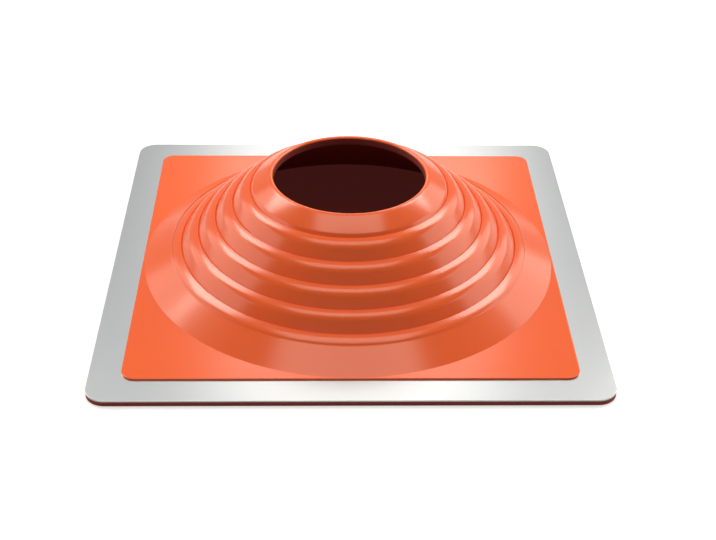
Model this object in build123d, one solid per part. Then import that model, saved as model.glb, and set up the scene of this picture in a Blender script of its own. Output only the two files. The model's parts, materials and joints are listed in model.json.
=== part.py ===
from build123d import *
import os

# Pipe flashing boot: a moulded silicone cone with stepped rings on a square flange,
# and a flat metal frame that stiffens the rim of the flange.
# Millimetres. Z is up along the axis of the cone, the underside of the flange is z = 0
# and the axis of the cone is x = y = 0.

# rings of the cone
ring_count = 5
ring_r1 = 57.2                # radius of the uppermost cut line
ring_z1 = 52.0                # height of the uppermost cut line
ring_out = 10.4               # each ring is this much wider in radius than the one above
ring_down = 8.8               # and this much lower
tread_out = 5.6               # the flatter upper side of a ring, outwards
tread_down = 1.6              # and downwards
tread_edge = 1.2              # the softened outer edge of a ring, each way from its corner
cut_width = 1.0               # the fine cut line in the corner above each ring
cut_depth = 1.0

# collar and opening
hole_r = 44.5                 # radius of the opening as moulded
rim_z = 59.8                  # height of the top of the rim
rim_top = 2.2                 # width of the level top of the rim, its softened edge included
rim_land = 5.0                # height of the rim at the opening, its softened edge included
rim_edge = 1.0                # the softened upper edge of the opening
rim_bead = 2.5                # width of the thicker bead round the opening
bead_slope = 1.2              # sloping outer side of the bead, both ways
collar_in = 0.8               # the foot of the collar stands this much inside the first cut
collar_up = 1.2               # and this much above it

# skirt
lip_out = 1.5                 # the last ring ends in a low step down to the skirt
lip_down = 1.5
skirt_out = 16.1              # width of the skirt seen from above
skirt_foot = 3.5              # silicone between the foot of the skirt and the hollow

# inside
wall_in = 1.9                 # the inner surface follows the outer one, this much further in
wall_down = 2.15              # and this much lower
skirt_in = 2.6                # wall at the top of the skirt, measured inwards
skirt_down = 2.5              # and downwards

# base
foot_gap = 0.8                # from the foot of the skirt to the panel edge, at the middle of a side
frame_show = 17.2             # width of the metal frame that is left in sight all round
frame_held = 4.0              # further width of the frame that is held inside the silicone
frame_sheet = 1.0             # thickness of the metal frame
frame_inner_corner = 5.0      # radius of the inner corners of the frame
under_layer = 2.5             # silicone under the frame, out to the edge of the base
cover_layer = 1.0             # silicone over the held margin of the frame
base_corner = 11.0            # corner radius of the base seen from above
panel_corner = 7.5            # corner radius of the raised silicone panel
panel_edge = 0.5              # softened top edge of the panel

# sealing grooves of the underside
seal_count = 2
seal_edge = 5.4               # from the edge of the base to the middle of the outermost groove
seal_pitch = 5.0
seal_width = 1.6
seal_depth = 0.8
seal_corner = 5.0             # corner radius of the middle of each groove

# dependent sizes
last_ring_r = ring_r1 + (ring_count - 1) * ring_out
foot_r = last_ring_r + tread_out + lip_out + skirt_out
hollow_r = foot_r - skirt_foot
panel_width = 2 * (foot_r + foot_gap)
base_width = panel_width + 2 * frame_show
frame_hole = panel_width - 2 * frame_held
frame_z = under_layer
panel_top = under_layer + frame_sheet + cover_layer


def rounded_square(width, corner, height, z):
    """A square plate with round corners, standing on the height z."""
    plate = extrude(RectangleRounded(width, width, corner), height)
    return Pos(0, 0, z) * plate


def soft_outline(corners):
    """Closed face in the XZ plane. Each corner is (r, z, edge), cut back by edge each way."""
    points = []
    for i, (r, z, edge) in enumerate(corners):
        here = Vector(r, 0, z)
        if edge == 0:
            points.append(here)
            continue
        for other in (corners[i - 1], corners[(i + 1) % len(corners)]):
            points.append(here + (Vector(other[0], 0, other[1]) - here).normalized() * edge)
    return Face(Wire(Polyline(*points, close=True).edges()))


def ring_corner(i):
    """Radius and height of the inner corner above ring i, where the cut line runs."""
    return ring_r1 + i * ring_out, ring_z1 - i * ring_down


def cone_outline():
    """Half section of the wall of the cone, from the rim down to the foot and back inside."""
    tread = Vector(tread_out, 0, -tread_down).normalized()
    riser = Vector(ring_out - tread_out, 0, tread_down - ring_down).normalized()
    collar_side = Vector(collar_in, 0, -collar_up).normalized()

    outside = [(hole_r, rim_z, rim_edge), (hole_r + rim_top, rim_z, 0)]
    outside.append((ring_r1 - collar_in, ring_z1 + collar_up, 0))
    for i in range(ring_count):
        r, z = ring_corner(i)
        above = collar_side if i == 0 else riser
        outside.append((r + above.X * cut_depth, z + above.Z * cut_depth, 0))
        outside.append((r + tread.X * cut_width, z + tread.Z * cut_width, 0))
        outside.append((r + tread_out, z - tread_down, tread_edge))
    lip_r = r + tread_out + lip_out
    lip_z = z - tread_down - lip_down
    outside.append((lip_r, lip_z, 0))
    outside.append((foot_r, panel_top, 0))
    outside.append((foot_r, 0, 0))

    inside = [(hollow_r, 0, 0), (lip_r - skirt_in, lip_z - skirt_down, 0)]
    for i in reversed(range(ring_count)):
        r, z = ring_corner(i)
        inside.append((r + tread_out - wall_in, z - tread_down - wall_down, 0))
        if i > 0:
            inside.append((r - wall_in, z - wall_down, 0))
    bead_z = rim_z - rim_land
    inside.append((hole_r + rim_bead + bead_slope, bead_z + bead_slope, 0))
    inside.append((hole_r + rim_bead, bead_z, 0))
    inside.append((hole_r, bead_z, 0))
    return soft_outline(outside + inside)


def seal_groove(half):
    """A square groove with round corners, cut upwards into the underside."""
    outer = rounded_square(2 * half + seal_width, seal_corner + seal_width / 2, seal_depth, 0)
    inner = rounded_square(2 * half - seal_width, seal_corner - seal_width / 2, seal_depth, 0)
    return outer - inner


# metal frame: one flat sheet with round outer and inner corners
frame = rounded_square(base_width, base_corner, frame_sheet, frame_z)
frame -= rounded_square(frame_hole, frame_inner_corner, frame_sheet, frame_z)

# silicone: flange, raised panel and cone in one moulding
wall = revolve(cone_outline(), Axis.Z, 360)
flange = rounded_square(base_width, base_corner, under_layer, 0)
panel = rounded_square(panel_width, panel_corner, panel_top, 0)
panel = chamfer(panel.edges().group_by(Axis.Z)[-1], panel_edge)
opening = Cylinder((hollow_r + foot_r) / 2, panel_top, align=(Align.CENTER, Align.CENTER, Align.MIN))
boot = (flange + panel - opening) + wall - frame
for k in range(seal_count):
    boot -= seal_groove(base_width / 2 - seal_edge - k * seal_pitch)

os.makedirs("parts", exist_ok=True)
export_step(boot, "parts/silicone_boot.step")
export_step(frame, "parts/metal_frame.step")
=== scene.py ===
import json
import math

import bmesh
import bpy
from mathutils import Matrix, Vector


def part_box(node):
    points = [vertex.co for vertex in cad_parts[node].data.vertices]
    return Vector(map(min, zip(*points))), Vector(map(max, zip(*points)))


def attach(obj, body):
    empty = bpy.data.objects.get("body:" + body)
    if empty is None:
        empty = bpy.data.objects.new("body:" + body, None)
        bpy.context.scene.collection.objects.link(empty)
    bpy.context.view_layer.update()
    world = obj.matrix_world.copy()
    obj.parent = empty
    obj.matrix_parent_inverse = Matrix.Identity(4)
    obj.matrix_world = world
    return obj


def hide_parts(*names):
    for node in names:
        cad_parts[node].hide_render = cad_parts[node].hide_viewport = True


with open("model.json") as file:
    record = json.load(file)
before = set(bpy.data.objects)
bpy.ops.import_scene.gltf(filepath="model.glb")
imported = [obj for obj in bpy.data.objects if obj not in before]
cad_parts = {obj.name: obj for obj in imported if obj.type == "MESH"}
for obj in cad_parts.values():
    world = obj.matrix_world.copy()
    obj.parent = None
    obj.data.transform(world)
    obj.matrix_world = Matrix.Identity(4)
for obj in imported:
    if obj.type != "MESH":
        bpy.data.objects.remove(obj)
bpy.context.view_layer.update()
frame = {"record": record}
mm = 0.001


# The silicone boot is one moulding: a flange with a raised panel, a skirt, five stepped
# rings with a fine cut line above each, and a collar with a thick rim. It comes out of the
# mould smooth and satin. Its inner side, underside and the edge of the flange are given a
# dark red as painted shade.
ring_count = 5
ring_r1, ring_z1 = 57.2, 52.0          # uppermost cut line: radius and height
ring_out, ring_down = 10.4, 8.8       # from one ring to the next
tread_out, tread_down = 5.6, 1.6       # flatter upper side of a ring
tread_edge = 3.0                       # round outer edge of a ring, from its corner
cut_width, cut_depth = 1.0, 1.0
rim_top, rim_land, rim_edge = 2.2, 5.0, 1.0
rim_bead, bead_slope = 2.5, 1.2
bead_edge, bead_foot_edge = 0.3, 0.4
collar_in, collar_up, collar_edge = 0.8, 1.2, 0.5
lip_out, lip_down, lip_edge = 1.5, 1.5, 0.8
skirt_out, skirt_foot = 16.1, 3.5
wall_in, wall_down = 1.9, 2.15
skirt_in, skirt_down = 2.6, 2.5
inner_edge = 0.6
foot_gap, frame_held = 0.8, 4.0
under_layer, cover_layer = 2.5, 1.0    # silicone under the frame and over its inner margin
base_corner, panel_corner, slot_corner, seal_corner = 11.0, 7.5, 5.0, 5.0
panel_edge = 0.5
seal_edge, seal_pitch, seal_width, seal_depth = 5.4, 5.0, 1.6, 0.8
seal_count = 2
turns = 240                            # faces round the cone
edge_faces, corner_faces = 6, 12       # faces across a round edge and round a square's corner
sharp_from = math.radians(32)

hole_r = frame["record"]["mounts"][0]["dims"]["r_mm"]
base_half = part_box("silicone_boot")[1].x / mm
frame_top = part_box("metal_frame")[1].z / mm
rim_z = 59.8
panel_top = frame_top + cover_layer
last_r = ring_r1 + (ring_count - 1) * ring_out
last_z = ring_z1 - (ring_count - 1) * ring_down
lip_r = last_r + tread_out + lip_out
lip_z = last_z - tread_down - lip_down
foot_r = lip_r + skirt_out
hollow_r = foot_r - skirt_foot
panel_half = foot_r + foot_gap


def along(start, direction, length):
    """The point that lies this far along a direction, both as (r, z)."""
    step = Vector(direction).normalized() * length
    return start[0] + step.x, start[1] + step.y


def cone_corners():
    """Corners of the wall as (r, z, softening), from the foot up, over the rim and down inside."""
    tread = (tread_out, -tread_down)
    riser = (ring_out - tread_out, tread_down - ring_down)
    down = [(hole_r, rim_z, rim_edge), (hole_r + rim_top, rim_z, rim_edge),
            (ring_r1 - collar_in, ring_z1 + collar_up, collar_edge)]
    inside = []
    for i in range(ring_count):
        corner = (ring_r1 + i * ring_out, ring_z1 - i * ring_down)
        above = riser if i else (collar_in, -collar_up)
        edge = (corner[0] + tread_out, corner[1] - tread_down)
        down.append((*along(corner, above, cut_depth), 0))
        down.append((*along(corner, tread, cut_width), 0))
        down.append((*edge, tread_edge))
        if i:
            inside.append((corner[0] - wall_in, corner[1] - wall_down, inner_edge))
        inside.append((edge[0] - wall_in, edge[1] - wall_down, inner_edge))
    down.append((lip_r, lip_z, lip_edge))
    down.append((foot_r, panel_top, 0))
    bead_z = rim_z - rim_land
    bead = [(hole_r, bead_z, bead_edge), (hole_r + rim_bead, bead_z, bead_edge),
            (hole_r + rim_bead + bead_slope, bead_z + bead_slope, bead_foot_edge)]
    inside.append((lip_r - skirt_in, lip_z - skirt_down, inner_edge))
    inside.append((hollow_r, 0, 0))
    return down[::-1] + bead + inside


def spun_wall(bm):
    """The wall of the cone, spun round Z. Returns its two open rims, foot first."""
    corners = cone_corners()
    verts = [bm.verts.new((r * mm, 0, z * mm)) for r, z, soft in corners]
    edges = [bm.edges.new(pair) for pair in zip(verts, verts[1:])]
    bmesh.ops.spin(bm, geom=verts + edges, cent=(0, 0, 0), axis=(0, 0, 1), angle=2 * math.pi,
                   steps=turns, use_merge=True, use_normal_flip=False, use_duplicate=False)

    def ring_edges(r, z):
        return [e for e in bm.edges if all(
            abs(v.co.z - z * mm) < 1e-6 and abs(v.co.xy.length - r * mm) < 1e-6 for v in e.verts)]

    for r, z, soft in corners:
        if soft:
            bmesh.ops.bevel(bm, geom=ring_edges(r, z), affect="EDGES", offset=soft * mm,
                            segments=edge_faces, profile=0.5, material=-1)
    return ring_edges(foot_r, panel_top), ring_edges(hollow_r, 0)


def square_strips(bm, rows):
    """Strips of faces from one square with round corners to the next, each (half, corner, z).
    Returns the edges of the first and the last square."""
    half, corner, z = rows[0]
    made = bmesh.ops.create_grid(bm, x_segments=1, y_segments=1, size=half * mm,
                                 matrix=Matrix.Translation((0, 0, z * mm)))
    bmesh.ops.bevel(bm, geom=made["verts"], affect="VERTICES", offset=corner * mm,
                    segments=corner_faces, profile=0.5, material=-1)
    face = max(bm.faces, key=lambda f: len(f.verts))
    first = edges = list(face.edges)
    bmesh.ops.delete(bm, geom=[face], context="FACES_ONLY")
    for new_half, new_corner, z in rows[1:]:
        made = bmesh.ops.extrude_edge_only(bm, edges=edges)["geom"]
        edges = [g for g in made if isinstance(g, bmesh.types.BMEdge)]
        for vert in [g for g in made if isinstance(g, bmesh.types.BMVert)]:
            side = Vector((math.copysign(1, vert.co.x), math.copysign(1, vert.co.y)))
            turn = (vert.co.xy - side * (half - corner) * mm) / corner
            vert.co.xy = side * (new_half - new_corner) * mm + turn * new_corner
            vert.co.z = z * mm
        half, corner = new_half, new_corner
    return first, edges


def square_flange(bm):
    """The flange, from the panel's top out, round the slot and back to the innermost groove."""
    rows = [(panel_half, panel_corner, panel_top), (panel_half, panel_corner, frame_top),
            (panel_half - frame_held, slot_corner, frame_top),
            (panel_half - frame_held, slot_corner, under_layer),
            (base_half, base_corner, under_layer), (base_half, base_corner, 0)]
    for k in range(seal_count):
        for side, z in ((1, 0), (1, seal_depth), (-1, seal_depth), (-1, 0)):
            half = base_half - seal_edge - k * seal_pitch + side * seal_width / 2
            rows.append((half, seal_corner + side * seal_width / 2, z))
    return square_strips(bm, rows)


def shade_smooth(bm):
    """Smooth shading, apart from the level faces and the edges sharper than sharp_from."""
    for face in bm.faces:
        face.smooth = abs(face.normal.z) < 0.9999
    for edge in bm.edges:
        level = any(not f.smooth for f in edge.link_faces)
        edge.smooth = not level and edge.calc_face_angle(0) < sharp_from


def finished(name, bm):
    """The object made of a bmesh, at the origin."""
    mesh = bpy.data.meshes.new(name)
    bm.to_mesh(mesh)
    bm.free()
    piece = bpy.data.objects.new(name, mesh)
    bpy.context.scene.collection.objects.link(piece)
    return piece


bm = bmesh.new()
flange_top, flange_under = square_flange(bm)
foot, hollow = spun_wall(bm)
bmesh.ops.triangle_fill(bm, edges=foot + flange_top, use_beauty=True, normal=(0, 0, 1))
bmesh.ops.triangle_fill(bm, edges=hollow + flange_under, use_beauty=True, normal=(0, 0, -1))
bmesh.ops.bevel(bm, geom=flange_top, affect="EDGES", offset=panel_edge * mm,
                segments=3, profile=0.5, material=-1)
bmesh.ops.recalc_face_normals(bm, faces=bm.faces)
bm.normal_update()
shade_smooth(bm)
for face in bm.faces:                  # orange where it looks up or stands above the frame, elsewhere dark red painted shade
    place = face.calc_center_median() / mm
    above_frame = place.z > frame_top and place.xy.length > foot_r
    face.material_index = 0 if face.normal.z > 0.02 or above_frame else 1
boot = finished("silicone_boot_skin", bm)


def linear(code):
    """A colour from its sRGB hex code."""
    parts = [int(code[i:i + 2], 16) / 255 for i in (1, 3, 5)]
    return [p / 12.92 if p <= 0.04045 else ((p + 0.055) / 1.055) ** 2.4 for p in parts] + [1]


def add(tree, kind, links=(), **values):
    """Adds a node. links are (input, socket) pairs, the input by its name or number, and values
    are its settings or inputs by name."""
    node = tree.nodes.new("ShaderNode" + kind)
    for name, value in values.items():
        if name in node.inputs:
            node.inputs[name].default_value = value
        else:
            setattr(node, name, value)
    for name, socket in links:
        tree.links.new(socket, node.inputs[name])
    return node


def new_material(name):
    material = bpy.data.materials.new(name)
    material.use_nodes = True
    material.node_tree.nodes.clear()
    return material, material.node_tree


def silicone(name, colour, worn, roughness, specular):
    """Silicone rubber as it leaves the mould. Its colour and gloss drift a little over 30 mm, and
    its skin is drawn 0.9 mm wide, coarser than the real one, which wouldn't show."""
    material, tree = new_material(name)
    place = add(tree, "TexCoord").outputs["Object"]
    cloud = add(tree, "TexNoise", [("Vector", place)], Scale=1 / (30 * mm), Detail=2.0)
    skin = add(tree, "TexNoise", [("Vector", place)], Scale=1 / (0.9 * mm), Detail=2.0)
    tint = add(tree, "Mix", [("Factor", cloud.outputs["Fac"])], data_type="RGBA")
    tint.inputs[6].default_value = linear(colour)      # the node's two colours
    tint.inputs[7].default_value = linear(worn)
    gloss = add(tree, "MapRange", [("Value", cloud.outputs["Fac"])],
                **{"To Min": roughness - 0.02, "To Max": roughness + 0.02})
    bump = add(tree, "Bump", [("Height", skin.outputs["Fac"])], Strength=0.08, Distance=0.1 * mm)
    shader = add(tree, "BsdfPrincipled", [
        ("Base Color", tint.outputs[2]), ("Roughness", gloss.outputs["Result"]),
        ("Normal", bump.outputs["Normal"])])
    shader.inputs["IOR"].default_value = 1.45
    shader.inputs["Specular IOR Level"].default_value = specular
    add(tree, "OutputMaterial", [("Surface", shader.outputs["BSDF"])])
    return material


# The outer side is clear orange, with soft broad highlights on every ring. The inner side is
# the same silicone as a dark red, dull copy: painted shade, so that the opening and the edge
# of the flange look deep.
boot.data.materials.append(silicone(
    "moulded silicone rubber, outer side", "#f2611f", "#ee5c1b", 0.19, 0.7))
boot.data.materials.append(silicone(
    "moulded silicone rubber, inner side in painted shade", "#93423b", "#883b34", 0.6, 0.2))
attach(boot, "root")
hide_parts("silicone_boot")


# The metal frame is a square ring of thin aluminium sheet, stamped in one piece. Its inner
# margin is held in the silicone, and the rest lies bare. The sheet keeps its mill finish.
sheet_edge, sheet_edge_faces = 0.12, 2
bm = bmesh.new()
outer, inner = (base_half, base_corner), (panel_half - frame_held, slot_corner)
square_strips(bm, [(*outer, frame_top), (*inner, frame_top), (*inner, under_layer),
                   (*outer, under_layer), (*outer, frame_top)])
bmesh.ops.remove_doubles(bm, verts=bm.verts, dist=0.001 * mm)
bm.normal_update()
rims = [e for e in bm.edges if e.calc_face_angle(0) > 1]
bmesh.ops.bevel(bm, geom=rims, affect="EDGES", offset=sheet_edge * mm,
                segments=sheet_edge_faces, profile=0.5, material=-1)
bmesh.ops.recalc_face_normals(bm, faces=bm.faces)
bm.normal_update()
shade_smooth(bm)
sheet = finished("metal_frame_sheet", bm)

# Rolled sheet is pale grey with a soft sheen, not a mirror. Its fine lines run one way. They
# are drawn 0.6 mm wide and 25 mm long, coarser than such lines are, and very faint.
aluminium, tree = new_material("mill-finish aluminium sheet")
place = add(tree, "TexCoord").outputs["Object"]
rolled = add(tree, "Mapping", [("Vector", place)], Scale=(1 / (0.6 * mm), 1 / (25 * mm), 1))
grain = add(tree, "TexNoise", [("Vector", rolled.outputs["Vector"])], Scale=1.0, Detail=3.0)
gloss = add(tree, "MapRange", [("Value", grain.outputs["Fac"])],
            **{"To Min": 0.275, "To Max": 0.305})
bump = add(tree, "Bump", [("Height", grain.outputs["Fac"])], Strength=0.05, Distance=0.05 * mm)
shader = add(tree, "BsdfPrincipled", [
    ("Roughness", gloss.outputs["Result"]), ("Normal", bump.outputs["Normal"])], Metallic=1.0)
shader.inputs["Base Color"].default_value = linear("#c8cccf")
add(tree, "OutputMaterial", [("Surface", shader.outputs["BSDF"])])
sheet.data.materials.append(aluminium)
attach(sheet, "root")
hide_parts("metal_frame")


# The floor is a plain pale studio floor. A dark red sheet lies under the hollow of the boot
# as painted shade, so that the opening shows only dark red; most of its colour there is its own
# glow.
shade_sheet_margin = 8.0                       # the painted shade sheet reaches this far under the flange
floor_z, shade_sheet_z = -0.0002, -0.0001      # in metres, both just under the boot


def stage_plane(name, size, z, material):
    bm = bmesh.new()
    bmesh.ops.create_circle(bm, cap_ends=True, radius=size, segments=96,
                            matrix=Matrix.Translation((0, 0, z)))
    plane = finished(name, bm)
    plane.data.materials.append(material)


# A matt floor that keeps soft shadows and is white to the camera.
white, tree = new_material("pale studio floor")
rays = add(tree, "LightPath")
matt = add(tree, "BsdfDiffuse", Color=linear("#e6e6e6"))
glow = add(tree, "Emission", Color=(1, 1, 1, 1), Strength=0.45)
both = add(tree, "AddShader", [(0, matt.outputs[0]), (1, glow.outputs[0])])
seen = add(tree, "MixShader", [
    ("Fac", rays.outputs["Is Camera Ray"]), (1, matt.outputs[0]), (2, both.outputs[0])])
add(tree, "OutputMaterial", [("Surface", seen.outputs[0])])
stage_plane("floor", 4.0, floor_z, white)

# Painted shade: a matt sheet, the same dark red all over, with a glow though it is no lamp.
dark, tree = new_material("painted shade sheet with glow")
matt = add(tree, "BsdfDiffuse", Color=linear("#7a302a"))
glow = add(tree, "Emission", Color=linear("#3a1613"), Strength=0.9)
both = add(tree, "AddShader", [(0, matt.outputs[0]), (1, glow.outputs[0])])
add(tree, "OutputMaterial", [("Surface", both.outputs[0])])
stage_plane("painted_shade_sheet", (hollow_r + shade_sheet_margin) * mm, shade_sheet_z, dark)


# Soft studio light: one softbox overhead, two at each side, one behind and one in front.
# A faint even light fills the room. The camera sees a white background, and gloss and metal
# see a dimmer grey one, which is brightest behind the boot.
lamp_distance = 1.5                    # metres from the boot


def softbox(name, turn, height, width, depth, strength):
    """turn goes clockwise from straight behind, height is up from the floor, and width and
    depth are how large the box looks from the boot, all in degrees."""
    lamp = bpy.data.lights.new(name, "AREA")
    lamp.shape = "RECTANGLE"
    lamp.size, lamp.size_y = [
        2 * lamp_distance * math.tan(math.radians(angle / 2)) for angle in (width, depth)]
    lamp.energy = strength * math.pi * lamp.size * lamp.size_y
    lamp.color = linear("#fff9ef")[:3]
    box = bpy.data.objects.new(name, lamp)
    side, up = math.radians(turn), math.radians(height)
    way = Vector((math.sin(side) * math.cos(up), math.cos(side) * math.cos(up), math.sin(up)))
    box.location = lamp_distance * way
    box.rotation_euler = way.to_track_quat("Z", "Y").to_euler()
    bpy.context.scene.collection.objects.link(box)


softbox("softbox_top", 180, 86, 44, 24, 2.7)
softbox("softbox_left", -76, 22, 60, 36, 1.7)
softbox("softbox_right", 70, 22, 60, 34, 2.1)
softbox("softbox_left_high", -49, 46, 22, 20, 8.2)
softbox("softbox_right_high", 47, 46, 22, 20, 8.2)
softbox("softbox_back", 2, 35, 18, 20, 2.6)
softbox("softbox_front", 180, 20, 60, 30, 0.15)

world = bpy.data.worlds.new("studio")
bpy.context.scene.world = world
world.use_nodes = True
tree = world.node_tree
tree.nodes.clear()
way = add(tree, "TexCoord").outputs["Generated"]
split = add(tree, "SeparateXYZ", [("Vector", way)])
behind = add(tree, "MapRange", [("Value", split.outputs["Y"])], interpolation_type="SMOOTHSTEP",
             **{"From Min": -0.5, "From Max": 0.6, "To Min": 0.35, "To Max": 0.5})
room = add(tree, "Background", Color=(1, 1, 1, 1), Strength=0.10)
mirrored = add(tree, "Background", [("Strength", behind.outputs["Result"])], Color=(1, 1, 1, 1))
shown = add(tree, "Background", Color=(1, 1, 1, 1), Strength=1.0)
rays = add(tree, "LightPath")
either = add(tree, "Math", [
    (0, rays.outputs["Is Glossy Ray"]), (1, rays.outputs["Is Transmission Ray"])],
    operation="MAXIMUM")
shine = add(tree, "MixShader", [
    ("Fac", either.outputs[0]), (1, room.outputs[0]), (2, mirrored.outputs[0])])
seen = add(tree, "MixShader", [
    ("Fac", rays.outputs["Is Camera Ray"]), (1, shine.outputs[0]), (2, shown.outputs[0])])
add(tree, "OutputWorld", [("Surface", seen.outputs[0])])


# Camera, from the vanishing lines of the square base: 33.4 degrees down, on a 69 mm lens.
camera = bpy.data.objects.new("camera", bpy.data.cameras.new("camera"))
camera.data.lens = 68.62
camera.data.sensor_width = 36.0
camera.data.clip_start = 0.01
camera.location = (-0.0157, -0.6945, 0.4510)
camera.rotation_euler = [math.radians(a) for a in (56.566, -0.838, -1.240)]
bpy.context.scene.collection.objects.link(camera)
bpy.context.scene.camera = camera
bpy.context.scene.view_settings.view_transform = "Standard"
